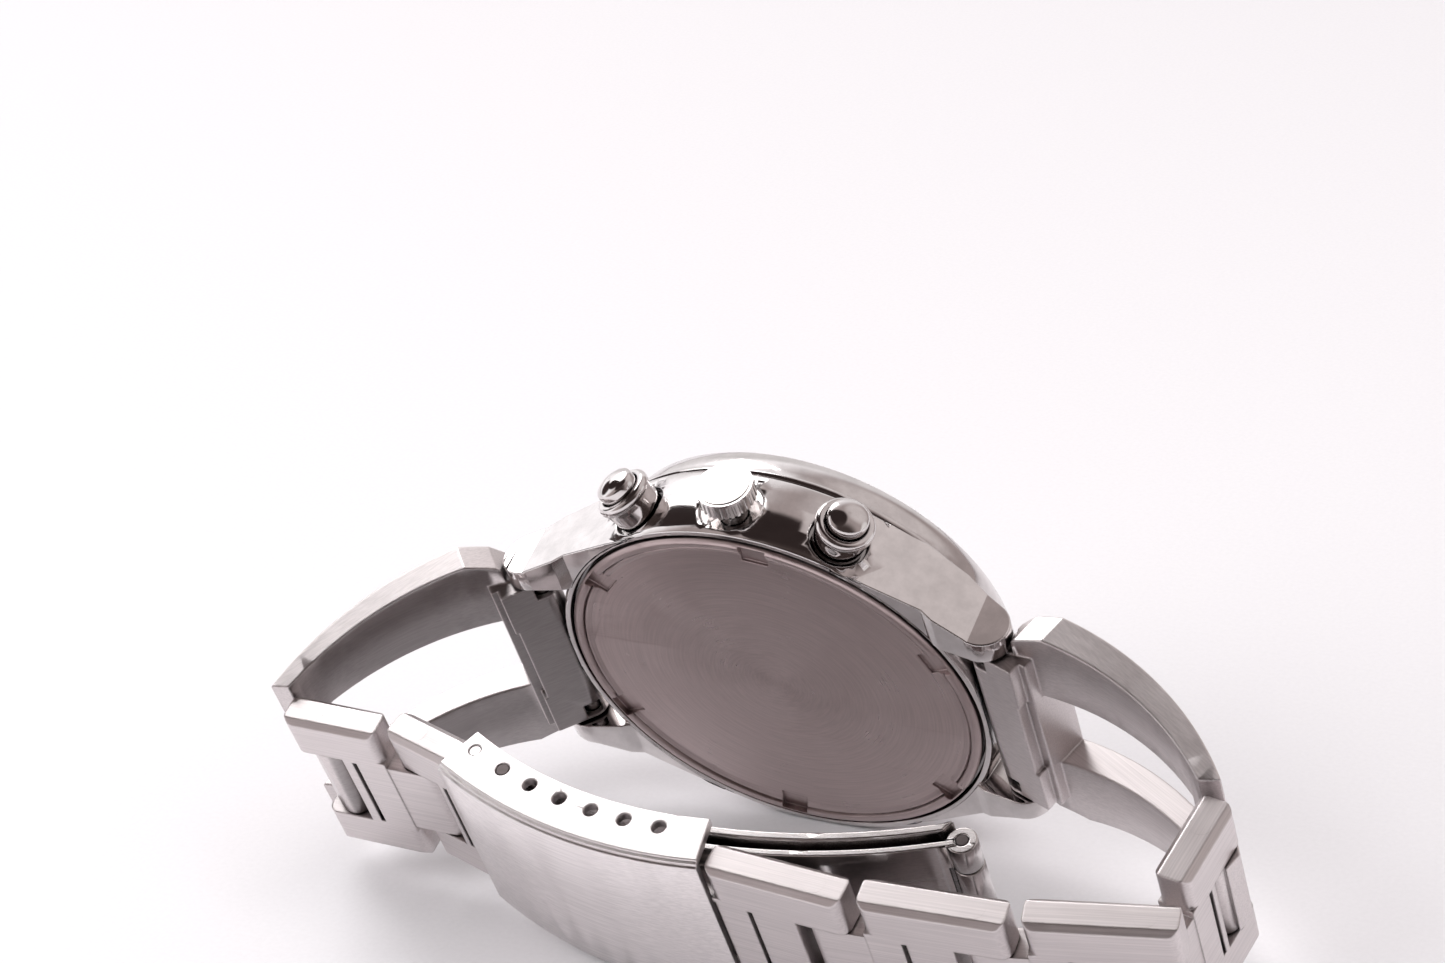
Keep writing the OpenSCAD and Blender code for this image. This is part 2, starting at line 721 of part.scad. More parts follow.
module blade_outer() {
    left = asin((h0[0] + 0.3 - blade_c[0]) / blade_r);
    right = asin((fold[0] - 0.5 - blade_c[0]) / blade_r);
    slot_end = q5[0] - 4;
    seat() color(steel) difference() {
        union() {
            curved(blade_c, blade_r, blade_r + sheet_t, left, right, blade_hw);
            // ears of the cover's hinge
            for (s = [-1, 1]) translate([h0[0], h0[1], s * (blade_hw - 0.65)]) {
                bar(1.05, 1.2);
                slab(-0.9, 0.7, 0, 1.2, -0.6, 0.6);
            }
            // middle knuckle of the fold
            translate([fold[0], fold[1], 0]) bar(1.25, blade_w / 2);
        }
        translate([h0[0], h0[1], 0]) bar(0.5 + run, blade_w + 2);
        translate([fold[0], fold[1], 0]) bar(0.5 + run, blade_w);
        // long window for the last link's tongue
        slab(h0[0] - 3, slot_end, h0[1] - 9, h0[1] + 9, -tongue_hw - 0.4, tongue_hw + 0.4);
        // room for the inner blade's knuckles
        for (s = [-1, 1]) translate([fold[0], fold[1], s * (blade_w / 4 + 4)])
            bar(1.25 + gap, 8 - 0.1);
    }
}

module blade_inner() {
    left = asin((q5[0] - 1 - blade_c[0]) / inner_r);
    right = asin((fold[0] - 0.6 - blade_c[0]) / inner_r);
    seat() color(steel) difference() {
        union() {
            curved(blade_c, inner_r, inner_r + 0.6, left, right, blade_hw - 0.5);
            for (s = [-1, 1]) translate([q5[0], q5[1], s * (notch_hw + 0.85)]) {
                bar(1.2, 1.4);
                slab(-0.9, 1.1, 0, 1.9, -0.7, 0.7);
            }
            for (s = [-1, 1]) translate([fold[0], fold[1], s * (blade_w / 4 + 1.55)])
                bar(1.25, blade_w / 4 - 0.7);
        }
        translate([q5[0], q5[1], 0]) bar(pin_r + run, 20);
        translate([fold[0], fold[1], 0]) bar(0.5 + run, 20);
        slab(q5[0] - 4, q5[0] + 4.2, q5[1], q5[1] + 4, -tongue_hw - 0.3, tongue_hw + 0.3);
        translate([fold[0], fold[1], 0]) bar(1.25 + gap, blade_w / 2 + 0.3);
    }
}

module fold_pin() {
    seat() color(polished) translate([fold[0], fold[1], 0]) bar(0.5, blade_w - 1.2);
}

module clasp_cover() {
    seat() color(steel) difference() {
        union() {
            curved(cover_c, cover_in, cover_out, left_turn, right_turn, cover_hw - 0.5);
            curved(cover_c, cover_in, cover_out - 0.25, left_turn, right_turn, cover_hw - 0.2);
            for (s = [-1, 1]) translate([0, 0, s * (cover_hw - wall_t / 2)])
                curved(cover_c, cover_edge, cover_foot, left_turn, right_turn, wall_t / 2);
        }
        for (i = [0:holes - 1]) translate(concat(
            on_cover(bar_turn + i * hole_pitch * 180 / PI / hole_curve, hole_curve), [0]))
            bar(0.6, cover_w + 2);
        translate([h0[0], h0[1], 0]) bar(0.53, cover_w + 2);
    }
}

module hinge_studs() {
    seat() color(polished) for (s = [-1, 1])
        translate([h0[0], h0[1], s * (cover_hw + blade_hw - 1.2 - 0.1) / 2])
            bar(0.5, cover_hw - blade_hw + 1.1);
}

module adjust_bar() {
    seat() color(polished) translate([h1[0], h1[1], 0]) bar(0.55, cover_w - 0.1);
}

case_middle();
bezel();
crystal();
crystal_gasket();
case_back();
back_gasket();
rehaut();
dial();
hour_markers();
date_ring();
movement();
movement_holder();
battery();
crown_tube();
collar_2();
collar_4();
setting_collar();
crown();
stem();
button_2();
shaft_2();
button_4();
shaft_4();
hour_hand();
minute_hand();
chrono_hand();
small_hand_12();
small_hand_6();
small_hand_9();
spring_bar_12();
spring_bar_6();
end_link_12();
end_link_6();
link_1();
link_2();
link_3();
link_4();
link_5();
link_6();
pin_1();
pin_2();
pin_3();
pin_4();
pin_5();
pin_6();
loop_pin();
blade_inner();
blade_outer();
fold_pin();
clasp_cover();
hinge_studs();
adjust_bar();
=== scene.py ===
"""Dresses the chronograph wristwatch: case, bracelet, folding clasp, dial and studio."""
import json
import logging
import math
from dataclasses import dataclass, field
from enum import Enum
from typing import Dict, List, Optional, Sequence, Tuple, Union

import bmesh
import bpy
from mathutils import Matrix, Vector


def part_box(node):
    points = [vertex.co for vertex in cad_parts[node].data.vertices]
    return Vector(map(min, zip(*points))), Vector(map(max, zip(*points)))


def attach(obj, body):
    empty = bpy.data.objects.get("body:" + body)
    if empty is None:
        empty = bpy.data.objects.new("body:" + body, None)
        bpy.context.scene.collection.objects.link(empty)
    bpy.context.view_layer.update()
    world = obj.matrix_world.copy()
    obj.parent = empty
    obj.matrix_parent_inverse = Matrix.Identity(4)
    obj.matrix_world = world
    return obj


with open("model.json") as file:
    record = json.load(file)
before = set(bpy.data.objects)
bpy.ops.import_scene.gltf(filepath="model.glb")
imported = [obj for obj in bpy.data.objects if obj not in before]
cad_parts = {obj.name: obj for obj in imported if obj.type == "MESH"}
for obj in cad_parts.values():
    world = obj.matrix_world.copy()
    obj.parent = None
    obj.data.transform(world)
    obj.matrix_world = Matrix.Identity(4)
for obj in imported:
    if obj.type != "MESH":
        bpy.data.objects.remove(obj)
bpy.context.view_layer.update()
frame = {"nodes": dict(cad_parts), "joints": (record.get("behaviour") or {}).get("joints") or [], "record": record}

LOG = logging.getLogger("watch")
MM = 0.001

Colour = Tuple[float, float, float]
Direction = Tuple[float, float, float]
DialPlace = Tuple[float, float]
Socket = bpy.types.NodeSocket
Value = Union[Socket, float]

NODES: Dict[str, bpy.types.Object] = frame["nodes"]
BODY_OF: Dict[str, str] = {node: body
                           for body, nodes in frame["record"]["behaviour"]["bodies"].items()
                           for node in nodes}


class Lay(Enum):
    """Direction in which a surface is brushed."""

    STRAIGHT = "straight"
    ROUND = "round"
    NONE = "none"


@dataclass(frozen=True)
class WatchAxes:
    """The leaning axes of the watch: X to 12 o'clock, Y out of the dial, Z to the crown."""

    origin: Vector
    x: Vector
    y: Vector
    z: Vector

    @classmethod
    def from_frame(cls, dial_pivot_height: float = 5.5) -> "WatchAxes":
        """Reads the axes from the joints of the crown and the minute hand.

        Args:
            dial_pivot_height: height of the minute hand's pivot above the case back's
                plate, in millimetres.

        Returns:
            The axes, with their origin on the case back's plate.
        """
        joints = {joint["name"]: joint for joint in frame["joints"]}
        z = Vector(joints["crown_pull"]["axis"]).normalized()
        y = -Vector(joints["minute_hand_turn"]["axis"]).normalized()
        pivot = Vector(joints["minute_hand_turn"]["pos_m"])
        return cls(origin=pivot - y * dial_pivot_height * MM, x=y.cross(z).normalized(), y=y, z=z)

    def matrix(self) -> Matrix:
        """Returns the matrix from watch axes, in metres, to the row frame."""
        turn = Matrix((self.x, self.y, self.z)).transposed().to_4x4()
        return Matrix.Translation(self.origin) @ turn

    def turned(self, direction: Direction) -> Vector:
        """Returns a direction of the watch axes, as a unit vector of the row frame."""
        return (self.matrix().to_3x3() @ Vector(direction)).normalized()

    def lean(self) -> float:
        """Returns the angle in radians by which the watch leans about the row's X."""
        return math.atan2(-self.z.y, self.z.z)

    def upright_origin(self) -> Vector:
        """Returns the origin after the lean is turned back, as in watch_coordinates."""
        return Matrix.Rotation(-self.lean(), 3, "X") @ self.origin


AXES = WatchAxes.from_frame()


class Graph:
    """Short way to write a node tree."""

    def __init__(self, tree: bpy.types.NodeTree) -> None:
        """Starts an empty tree.

        Args:
            tree: the node tree to fill.
        """
        self.tree = tree
        tree.nodes.clear()

    def add(self, kind: str, settings: Optional[dict] = None, **values: object) -> bpy.types.Node:
        """Adds a node.

        Args:
            kind: the node's type.
            settings: properties to set on the node.
            values: input values, or sockets to link, by input name with spaces as underscores.

        Returns:
            The new node.
        """
        node = self.tree.nodes.new(kind)
        for name, value in (settings or {}).items():
            setattr(node, name, value)
        for name, value in values.items():
            self.feed(node.inputs[name.replace("_", " ")], value)
        return node

    def feed(self, socket: Socket, value: object) -> None:
        """Links a socket to another, or sets its value.

        Args:
            socket: the input to fill.
            value: a socket to link, or the value to set.
        """
        if isinstance(value, Socket):
            self.tree.links.new(value, socket)
        else:
            socket.default_value = value

    def math(self, operation: str, first: Value, second: Value = 0.0) -> Socket:
        """Adds a math node.

        Args:
            operation: the node's operation.
            first: its first value.
            second: its second value.

        Returns:
            The result's socket.
        """
        node = self.add("ShaderNodeMath", {"operation": operation})
        self.feed(node.inputs[0], first)
        self.feed(node.inputs[1], second)
        return node.outputs[0]

    def vector(self, operation: str, first: object, second: object = None) -> bpy.types.Node:
        """Adds a vector math node.

        Args:
            operation: the node's operation.
            first: its first vector.
            second: its second vector, if the operation has one.

        Returns:
            The node, with the vector in its first output.
        """
        node = self.add("ShaderNodeVectorMath", {"operation": operation})
        self.feed(node.inputs[0], first)
        if second is not None:
            self.feed(node.inputs[1], second)
        return node

    def facing(self, first: Socket, direction: Vector) -> Socket:
        """Returns how far a vector points along a direction, from -1 to 1."""
        return self.vector("DOT_PRODUCT", first, direction).outputs["Value"]

    def scaled(self, vector: Socket, share: Value) -> Socket:
        """Adds a node that scales a vector or a colour.

        Args:
            vector: the vector or colour.
            share: the factor.

        Returns:
            The result's socket.
        """
        node = self.vector("SCALE", vector)
        self.feed(node.inputs["Scale"], share)
        return node.outputs[0]

    def spread(self, value: Value, low: float, high: float, to_low: float, to_high: float,
               smooth: bool = False) -> Socket:
        """Maps a value from one range to another, clamped.

        Args:
            value: the value to map.
            low: start of its range.
            high: end of its range.
            to_low: result at the start.
            to_high: result at the end.
            smooth: whether the ends are eased.

        Returns:
            The result's socket.
        """
        kind = "SMOOTHSTEP" if smooth else "LINEAR"
        node = self.add("ShaderNodeMapRange", {"interpolation_type": kind})
        for socket, number in zip(node.inputs, (value, low, high, to_low, to_high)):
            self.feed(socket, number)
        return node.outputs[0]

    def mix(self, kind: str, share: Value, first: object, second: object) -> Socket:
        """Mixes two values of one kind.

        Args:
            kind: RGBA or VECTOR.
            share: share of the second value.
            first: the first value, or its socket.
            second: the second value, or its socket.

        Returns:
            The result's socket.
        """
        node = self.add("ShaderNodeMix", {"data_type": kind})
        self.feed(node.inputs[0], share)
        ends = [socket for socket in node.inputs if socket.type == kind][-2:]
        self.feed(ends[0], first)
        self.feed(ends[1], second)
        return next(socket for socket in node.outputs if socket.type == kind)

    def tint(self, share: Value, first: Union[Socket, Colour],
             second: Union[Socket, Colour]) -> Socket:
        """Mixes two colours.

        Args:
            share: share of the second colour.
            first: the first colour, or its socket.
            second: the second colour, or its socket.

        Returns:
            The mixed colour's socket.
        """
        ends = [end if isinstance(end, Socket) else (*end, 1.0) for end in (first, second)]
        return self.mix("RGBA", share, *ends)

    def between(self, share: Value, first: Socket, second: Vector) -> Socket:
        """Mixes a vector with a fixed one and makes the result a unit vector.

        Args:
            share: share of the second vector.
            first: the first vector's socket.
            second: the fixed vector.

        Returns:
            The unit vector's socket.
        """
        mixed = self.mix("VECTOR", share, first, second)
        return self.vector("NORMALIZE", mixed).outputs[0]

    def place(self, kind: str = "Object") -> Socket:
        """Returns an output of a texture coordinate node."""
        return self.add("ShaderNodeTexCoord").outputs[kind]

    def noise(self, place: Socket, scale: float, detail: float, rough: float = 0.5) -> Socket:
        """Adds a noise texture.

        Args:
            place: coordinates of the noise.
            scale: its repeats per unit of the coordinates.
            detail: its number of finer layers.
            rough: strength of the finer layers.

        Returns:
            The noise's socket, from 0 to 1.
        """
        return self.add("ShaderNodeTexNoise", Vector=place, Scale=scale, Detail=detail,
                        Roughness=rough).outputs[0]


def watch_coordinates(graph: Graph, turn: float, stretch: Direction) -> Socket:
    """Object coordinates turned to the watch axes and stretched.

    Args:
        graph: the tree to add to.
        turn: angle of the brushing about the watch's Z axis, in radians.
        stretch: repeats per metre along the brushing, out of the surface and across.

    Returns:
        The vector socket.
    """
    place = graph.place()
    for name, value in (("Rotation", (-AXES.lean(), 0.0, 0.0)), ("Rotation", (0.0, 0.0, -turn)),
                        ("Scale", tuple(stretch))):
        step = graph.add("ShaderNodeMapping", {"vector_type": "POINT"}, Vector=place)
        step.inputs[name].default_value = value
        place = step.outputs[0]
    return place


@dataclass(frozen=True)
class Finish:
    """A surface finish, which builds its material at its first use."""

    name: str

    def material(self) -> bpy.types.Material:
        """Builds the material, or returns the one already built.

        Returns:
            The finish's material.
        """
        made = bpy.data.materials.get(self.name)
        if made is None:
            made = bpy.data.materials.new(self.name)
            made.use_nodes = True
            graph = Graph(made.node_tree)
            shader = graph.add("ShaderNodeBsdfPrincipled")
            out = graph.add("ShaderNodeOutputMaterial")
            graph.feed(out.inputs["Surface"], shader.outputs[0])
            self.fill(graph, shader)
        return made

    def fill(self, graph: Graph, shader: bpy.types.Node) -> None:
        """Sets the shader's sockets, in each kind of finish its own way."""
        raise NotImplementedError


# Wear and tooling marks of steel, in repeats per metre where nothing else is said, then the painted shade in
# crevices and on inner faces, and the crown's flattening.
CLOUD_SCALE = 220.0
CLOUD_RANGE = (0.35, 0.70)
CLOUD_SMOOTHER, CLOUD_ROUGHER = -0.07, 0.10
BRUSH_STRETCH = (90.0, 6400.0, 6400.0)
PLAIN_STRETCH = (500.0, 500.0, 500.0)
BRUSH_RANGE = (0.35, 0.65)
BRUSH_TINT, CLOUD_TINT = 0.75, 0.5
DARKEST, LIGHTEST = 0.86, 1.06
RINGS_PER_METRE, ARCS_PER_RADIAN = 5200.0, 2.2
HAIR_STRETCH = (60.0, 60.0, 2600.0)
HAIR_LAYS = ((0.5, 0.0), (-0.9, 3.0), (1.35, 7.0))
HAIR_RANGE = (0.69, 0.73)
HAIR_ROUGH, HAIR_DEPTH = 0.12, 1.5
LEAST_ROUGH = 0.03
MICROMETRE = 1e-6
EDGE_SAMPLES = 6
# Painted shade in crevices: ambient occlusion within this reach in millimetres, over this range, darkens steel
# down to this share of its tone.
CREVICE_SHADE_REACH = 1.1
CREVICE_SHADE_RANGE = (0.05, 0.70)
CREVICE_SHADE_TONE = 0.22
# Painted shade on inner faces: the cosines over which it comes in.
SHADED_FACING_RANGE = (0.80, 0.95)
DOME_RANGE = (0.72, 0.85)


@dataclass(frozen=True)
class Steel(Finish):
    """Bare steel, polished or brushed, with fine scratches.

    Fields: tone is the metal's colour, rough its mean roughness, grain the share of the
    brushing in the roughness, relief the depth of the brushing in micrometres, lay its
    direction, turn its angle about the watch's Z axis in degrees, scratches the share of
    crossing hairlines, stretch how far the brushing stretches a highlight, cloud the share of
    handling marks, soften the radius in millimetres over which an edge catches the light,
    inside the watch-axes direction of faces darkened with painted shade, with dull the share
    of the tone that they keep, and level how far a low dome that faces the crown's way reads
    flat. Every tone is also darkened by painted shade in crevices, from ambient occlusion.
    """

    tone: Colour
    rough: float
    grain: float = 0.08
    relief: float = 0.6
    lay: Lay = Lay.STRAIGHT
    turn: float = 0.0
    scratches: float = 0.3
    stretch: float = 0.0
    cloud: float = 0.4
    soften: float = 0.12
    shaded_facing: Optional[Direction] = None
    shade_keep: float = 1.0
    level: float = 0.0

    def fill(self, graph: Graph, shader: bpy.types.Node) -> None:
        """Sets the shader's sockets.

        Args:
            graph: the material's tree.
            shader: its surface shader.
        """
        shader.inputs["Metallic"].default_value = 1.0
        lines = self.brush_lines(graph)
        hairs = self.hairlines(graph)
        cloud = graph.noise(graph.place(), CLOUD_SCALE, 3.0, 0.6)
        graph.feed(shader.inputs["Roughness"], self.roughness(graph, lines, hairs, cloud))
        graph.feed(shader.inputs["Base Color"], self.colour(graph, lines, cloud))
        graph.feed(shader.inputs["Normal"], self.normal(graph, lines, hairs))
        if self.stretch:
            shader.inputs["Anisotropic"].default_value = self.stretch
            graph.feed(shader.inputs["Tangent"], self.lay_direction(graph))

    def roughness(self, graph: Graph, lines: Socket, hairs: Socket, cloud: Socket) -> Socket:
        """Varies the roughness with the brushing, the scratches and the handling marks.

        Args:
            graph: the material's tree.
            lines: height of the brushing.
            hairs: the scratches.
            cloud: the handling marks.

        Returns:
            The roughness.
        """
        brushing = graph.math("MULTIPLY", lines, self.grain)
        handling = graph.spread(cloud, *CLOUD_RANGE, CLOUD_SMOOTHER * self.cloud,
                                CLOUD_ROUGHER * self.cloud)
        rough = graph.math("ADD", self.rough - self.grain * 0.5, brushing)
        rough = graph.math("ADD", rough, handling)
        scratch = graph.math("MULTIPLY", hairs, HAIR_ROUGH * self.scratches)
        return graph.math("MAXIMUM", graph.math("ADD", rough, scratch), LEAST_ROUGH)

    def colour(self, graph: Graph, lines: Socket, cloud: Socket) -> Socket:
        """Varies the tone with the brushing and the handling marks, and paints shade on it.

        Args:
            graph: the material's tree.
            lines: height of the brushing.
            cloud: the handling marks.

        Returns:
            The colour.
        """
        darker = tuple(part * DARKEST for part in self.tone)
        lighter = tuple(min(1.0, part * LIGHTEST) for part in self.tone)
        shade = graph.math("ADD", graph.spread(lines, *BRUSH_RANGE, 0.0, BRUSH_TINT),
                           graph.math("MULTIPLY", cloud, CLOUD_TINT * self.cloud))
        colour = graph.tint(shade, darker, lighter)
        # Painted shade: faces that point along the inner-face direction keep only a share of their tone.
        if self.shaded_facing:
            facing = graph.facing(graph.place("Normal"), AXES.turned(self.shaded_facing))
            colour = graph.scaled(colour, graph.spread(facing, *SHADED_FACING_RANGE, 1.0, self.shade_keep))
        # Painted shade: crevices, gaps and recesses are darkened by ambient occlusion.
        near = graph.add("ShaderNodeAmbientOcclusion", {"samples": EDGE_SAMPLES},
                         Distance=CREVICE_SHADE_REACH * MM)
        painted_crevice_shade = graph.spread(near.outputs["AO"], *CREVICE_SHADE_RANGE, CREVICE_SHADE_TONE, 1.0)
        return graph.scaled(colour, painted_crevice_shade)

    def normal(self, graph: Graph, lines: Socket, hairs: Socket) -> Socket:
        """Gives the surface its brushing, its scratches and its soft edges.

        Args:
            graph: the material's tree.
            lines: height of the brushing.
            hairs: the scratches.

        Returns:
            The surface's normal.
        """
        height = graph.math("SUBTRACT", graph.math("MULTIPLY", lines, self.relief),
                            graph.math("MULTIPLY", hairs, self.scratches * HAIR_DEPTH))
        bump = graph.add("ShaderNodeBump", Height=height, Strength=1.0, Distance=MICROMETRE)
        if self.soften:
            worn = graph.add("ShaderNodeBevel", {"samples": EDGE_SAMPLES},
                             Radius=self.soften * MM)
            graph.feed(bump.inputs["Normal"], worn.outputs[0])
        if self.level:
            normal = graph.place("Normal")
            share = graph.spread(graph.facing(normal, AXES.z), *DOME_RANGE, 0.0, self.level)
            graph.feed(bump.inputs["Normal"], graph.between(share, normal, AXES.z))
        return bump.outputs[0]

    def lay_direction(self, graph: Graph) -> Socket:
        """Finds the direction of the brushing at each point.

        Args:
            graph: the material's tree.

        Returns:
            The direction.
        """
        if self.lay is not Lay.ROUND:
            turn = math.radians(self.turn)
            along = AXES.x * math.cos(turn) + AXES.y * math.sin(turn)
            return graph.add("ShaderNodeCombineXYZ", X=along.x, Y=along.y, Z=along.z).outputs[0]
        offset = graph.vector("SUBTRACT", graph.place(), AXES.origin).outputs[0]
        around = graph.vector("CROSS_PRODUCT", offset, AXES.y).outputs[0]
        return graph.vector("NORMALIZE", around).outputs[0]

    def brush_lines(self, graph: Graph) -> Socket:
        """Makes the brushing, straight, in rings or as an even grain.

        Args:
            graph: the material's tree.

        Returns:
            Its height from 0 to 1.
        """
        if self.lay is Lay.ROUND:
            return self.turned_lines(graph)
        stretch = BRUSH_STRETCH if self.lay is Lay.STRAIGHT else PLAIN_STRETCH
        place = watch_coordinates(graph, math.radians(self.turn), stretch)
        return graph.noise(place, 1.0, 4.0, 0.6)

    def turned_lines(self, graph: Graph) -> Socket:
        """Makes the rings that turning leaves round the watch's Y axis.

        Args:
            graph: the material's tree.

        Returns:
            Their height from 0 to 1.
        """
        place = watch_coordinates(graph, 0.0, (1.0, 1.0, 1.0))
        offset = graph.vector("SUBTRACT", place, AXES.upright_origin()).outputs[0]
        parts = graph.add("ShaderNodeSeparateXYZ", Vector=offset)
        up, across = parts.outputs[0], parts.outputs[2]
        square = graph.math("ADD", graph.math("MULTIPLY", up, up),
                            graph.math("MULTIPLY", across, across))
        radius = graph.math("SQRT", square)
        angle = graph.math("ARCTAN2", up, across)
        ringed = graph.add("ShaderNodeCombineXYZ",
                           X=graph.math("MULTIPLY", radius, RINGS_PER_METRE),
                           Y=graph.math("MULTIPLY", angle, ARCS_PER_RADIAN))
        return graph.noise(ringed.outputs[0], 1.0, 3.0, 0.65)

    def hairlines(self, graph: Graph) -> Socket:
        """Makes the few scratches that cross the surface.

        Args:
            graph: the material's tree.

        Returns:
            1 on a scratch, 0 elsewhere.
        """
        total: Value = 0.0
        for turn, seed in HAIR_LAYS:
            place = watch_coordinates(graph, turn, HAIR_STRETCH)
            bent = graph.add("ShaderNodeTexNoise", {"noise_dimensions": "4D"}, Vector=place,
                             Scale=1.0, Detail=1.0, W=seed).outputs[0]
            total = graph.math("ADD", total, graph.spread(bent, *HAIR_RANGE, 0.0, 1.0))
        return graph.math("MINIMUM", total, 1.0)


SPECK_SCALE = 2400.0
SPECK_RANGE = (0.3, 0.7)
SPECK_DARKER = 0.92


@dataclass(frozen=True)
class Coating(Finish):
    """Paint, plastic, rubber or plated parts with a faint grain.

    Fields: tone is the colour, rough the mean roughness, metal 1 for a plated part, and grain
    how far the roughness varies.
    """

    tone: Colour
    rough: float = 0.4
    metal: float = 0.0
    grain: float = 0.06

    def fill(self, graph: Graph, shader: bpy.types.Node) -> None:
        """Sets the shader's sockets.

        Args:
            graph: the material's tree.
            shader: its surface shader.
        """
        shader.inputs["Metallic"].default_value = self.metal
        speck = graph.noise(graph.place(), SPECK_SCALE, 3.0)
        rough = graph.spread(speck, *SPECK_RANGE, self.rough - self.grain, self.rough + self.grain)
        graph.feed(shader.inputs["Roughness"], rough)
        darker = tuple(part * SPECK_DARKER for part in self.tone)
        graph.feed(shader.inputs["Base Color"], graph.tint(speck, darker, self.tone))


@dataclass(frozen=True)
class Crystal(Finish):
    """Clear mineral glass with a few smears.

    Fields: tone is the glass's colour, index its index of refraction, smears the repeats of
    the smears per metre, and clean and smeared the two ends of the roughness.
    """

    name: str = "clear crystal"
    tone: Colour = (0.96, 0.98, 0.99)
    index: float = 1.5
    smears: float = 160.0
    clean: float = 0.01
    smeared: float = 0.05

    def fill(self, graph: Graph, shader: bpy.types.Node) -> None:
        """Sets the shader's sockets.

        Args:
            graph: the material's tree.
            shader: its surface shader.
        """
        smear = graph.noise(graph.place(), self.smears, 2.0)
        rough = graph.spread(smear, 0.4, 0.7, self.clean, self.smeared)
        graph.feed(shader.inputs["Roughness"], rough)
        shader.inputs["Base Color"].default_value = (*self.tone, 1.0)
        shader.inputs["Transmission Weight"].default_value = 1.0
        shader.inputs["IOR"].default_value = self.index


POLISHED = Steel("polished steel", (0.74, 0.705, 0.70), 0.07, grain=0.02, relief=0.03,
                 lay=Lay.NONE, scratches=0.6, cloud=0.04)
SHELL = Steel("polished case steel", (0.78, 0.745, 0.74), 0.08, grain=0.02, relief=0.03,
              lay=Lay.NONE, scratches=0.6, cloud=0.04, soften=0.08)
# Painted highlight: the crown is the case's polished steel with a near-white tone, so its face reads white like a
# bright reflection; the room's bright patch adds a real one.
LIT_CROWN = Steel("bright crown steel", (0.93, 0.91, 0.90), 0.12, grain=0.02, relief=0.03,
              lay=Lay.NONE, scratches=0.4, cloud=0.04, soften=0.0, level=0.95)
# Painted light: the cover is the links' brushed steel with a lighter tone, to make up for the watch's own shade on
# it.
LIT_COVER = Steel("brushed cover steel", (0.85, 0.81, 0.81), 0.33, grain=0.10, relief=0.45,
              turn=-10.0, stretch=0.5)
BACK = Steel("turned back steel", (0.56, 0.465, 0.46), 0.34, grain=0.16, relief=0.9,
             lay=Lay.ROUND, scratches=1.0, stretch=0.6, cloud=0.8)
BLADE = Steel("rolled blade steel", (0.70, 0.67, 0.665), 0.20, grain=0.06, relief=0.15,
              scratches=0.6, cloud=0.6)
# Painted shade: the adjust bar and fold pin are steel given a near-black tone, so the cover's holes read as dark
# open holes.
SHADE_PAINTED_STEEL = Steel("shade_painted bar steel", (0.10, 0.085, 0.085), 0.30, grain=0.06, relief=0.2,
             scratches=0.1)
TURNED = Steel("turned pin steel", (0.66, 0.64, 0.63), 0.22, relief=0.3, scratches=0.1)
GASKET = Coating("black rubber", (0.03, 0.03, 0.03), 0.6)
DIAL = Coating("dial lacquer", (0.86, 0.86, 0.84), 0.3)
CALENDAR = Coating("calendar white", (0.9, 0.9, 0.88), 0.5)
GILT = Coating("gilt movement", (0.76, 0.62, 0.36), 0.35, metal=1.0)
HOLDER = Coating("moulded holder", (0.8, 0.8, 0.78), 0.45)
CELL = Coating("battery can", (0.72, 0.72, 0.72), 0.3, metal=1.0)
HANDS = Coating("polished hands", (0.85, 0.85, 0.86), 0.12, metal=1.0)
GLOW = Coating("pale green glow paint", (0.78, 0.84, 0.70), 0.55)
BLACK = Coating("black lacquer", (0.03, 0.03, 0.035), 0.3)
RED = Coating("red lacquer", (0.62, 0.05, 0.04), 0.3)
TABLE = Coating("white table", (0.875, 0.86, 0.885), 0.75, grain=0.02)
CRYSTAL = Crystal()

LINK_SOFTEN = 0.25


def brushed(turn: float, soften: float = LINK_SOFTEN, shaded_facing: Optional[Direction] = None,
            shade_keep: float = 1.0) -> Steel:
    """Brushed steel whose lines run along a piece of the strap.

    Args:
        turn: direction of the piece in the watch's XY plane, in degrees.
        soften: radius of its soft edges in millimetres.
        shaded_facing: direction of the piece's inner face in the watch axes, if it gets painted shade.
        shade_keep: share of the tone that the inner face keeps under the painted shade.

    Returns:
        The finish.
    """
    kind = "brushed steel" if soften else "brushed plug"
    return Steel(f"{kind} {turn:.0f}", (0.73, 0.68, 0.68), 0.34, grain=0.10, relief=0.45,
                 turn=turn, stretch=0.5, soften=soften, shaded_facing=shaded_facing, shade_keep=shade_keep)


WELD_DISTANCE = 1e-7
SHARP_DEGREES = 40.0
BEVEL_STEPS = 2


def dress(node: str, finish: Finish, width: float = 0.0) -> None:
    """Gives a CAD node its finish, and softens its edges.

    Args:
        node: the node's name.
        finish: the finish of its faces.
        width: width of the softened edges in millimetres, 0 for none.
    """
    piece = NODES[node]
    piece.data.materials.clear()
    piece.data.materials.append(finish.material())
    if width:
        weld = piece.modifiers.new("weld", "WELD")
        weld.merge_threshold = WELD_DISTANCE
        soften = piece.modifiers.new("soften", "BEVEL")
        soften.width = width * MM
        soften.segments = BEVEL_STEPS
        soften.limit_method = "ANGLE"
        soften.angle_limit = math.radians(SHARP_DEGREES)
        soften.loop_slide = False
        soften.harden_normals = True
        soften.use_clamp_overlap = False
    LOG.info("dressed %s with %s", node, finish.name)


